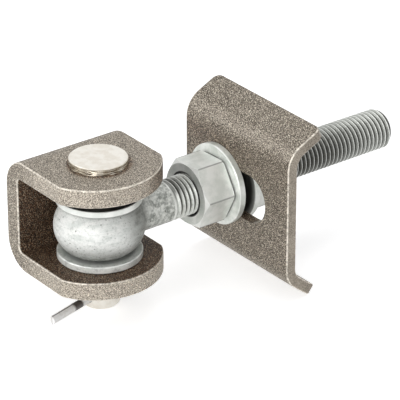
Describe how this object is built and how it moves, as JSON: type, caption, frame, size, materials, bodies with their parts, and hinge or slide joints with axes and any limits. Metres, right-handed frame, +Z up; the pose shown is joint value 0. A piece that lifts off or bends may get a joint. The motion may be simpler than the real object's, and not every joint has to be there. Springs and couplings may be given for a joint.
{
  "type": "adjustable gate hinge",
  "caption": "Adjustable weld-on gate hinge: a folded steel fork carries an eye bolt on a clevis pin, with a slotted flanged plate clamped between nuts on its thread.",
  "frame": {"origin": "centre of the fork's flat back, where it is fixed to the post", "axes": "+X out of the fork's back towards its opening, +Y along the eye bolt towards its end, +Z up along the clevis pin towards its head"},
  "size_m": [0.0843, 0.2035, 0.0856],
  "materials": {
    "bare_steel": "bare mill steel, matt, finely mottled, with bright worn edges",
    "zinc_steel": "dull galvanised steel, lightly mottled",
    "bright_steel": "bright turned steel, satin"
  },
  "bodies": {
    "fork": {"fork": "bare_steel", "lower_washer": "zinc_steel"},
    "pin": {"hinge_pin": "bright_steel", "split_pin": "bright_steel"},
    "eye": {"eye_bolt": "zinc_steel", "upper_washer": "zinc_steel"},
    "clamp": {"front_washer": "zinc_steel"},
    "front_nut": {"front_nut": "zinc_steel"},
    "back_nut": {"back_nut": "zinc_steel"},
    "back_washer": {"back_washer": "zinc_steel"},
    "plate": {"slotted_plate": "bare_steel"}
  },
  "joints": [
    {"name": "pin_turn", "type": "hinge", "parent": "fork", "child": "pin", "pos_m": [0.0335, 0, 0.028], "axis": [0, 0, 1], "continuous": true},
    {"name": "hinge_swing", "type": "hinge", "parent": "fork", "child": "eye", "pos_m": [0.0335, 0, -0.003], "axis": [0, 0, 1], "range_deg": [-202, 22]},
    {"name": "adjust_slide", "type": "slide", "parent": "eye", "child": "clamp", "axis": [0, 1, 0], "range_m": [-0.01, 0.07]},
    {"name": "front_nut_turn", "type": "hinge", "parent": "clamp", "child": "front_nut", "pos_m": [0.0335, 0.058, -0.003], "axis": [0, 1, 0], "range_deg": [-1440, 10080]},
    {"name": "back_washer_turn", "type": "hinge", "parent": "clamp", "child": "back_washer", "pos_m": [0.0335, 0.077, -0.003], "axis": [0, 1, 0], "continuous": true},
    {"name": "slot_slide", "type": "slide", "parent": "back_washer", "child": "plate", "axis": [-1, 0, 0], "range_m": [0, 0.024]},
    {"name": "back_nut_turn", "type": "hinge", "parent": "clamp", "child": "back_nut", "pos_m": [0.0335, 0.087, -0.003], "axis": [0, 1, 0], "range_deg": [-1440, 10080]}
  ],
  "couplings": [
    {"joint": "front_nut_turn", "follows": "adjust_slide", "rad_per_m": 2513.3},
    {"joint": "back_nut_turn", "follows": "adjust_slide", "rad_per_m": 2513.3}
  ]
}
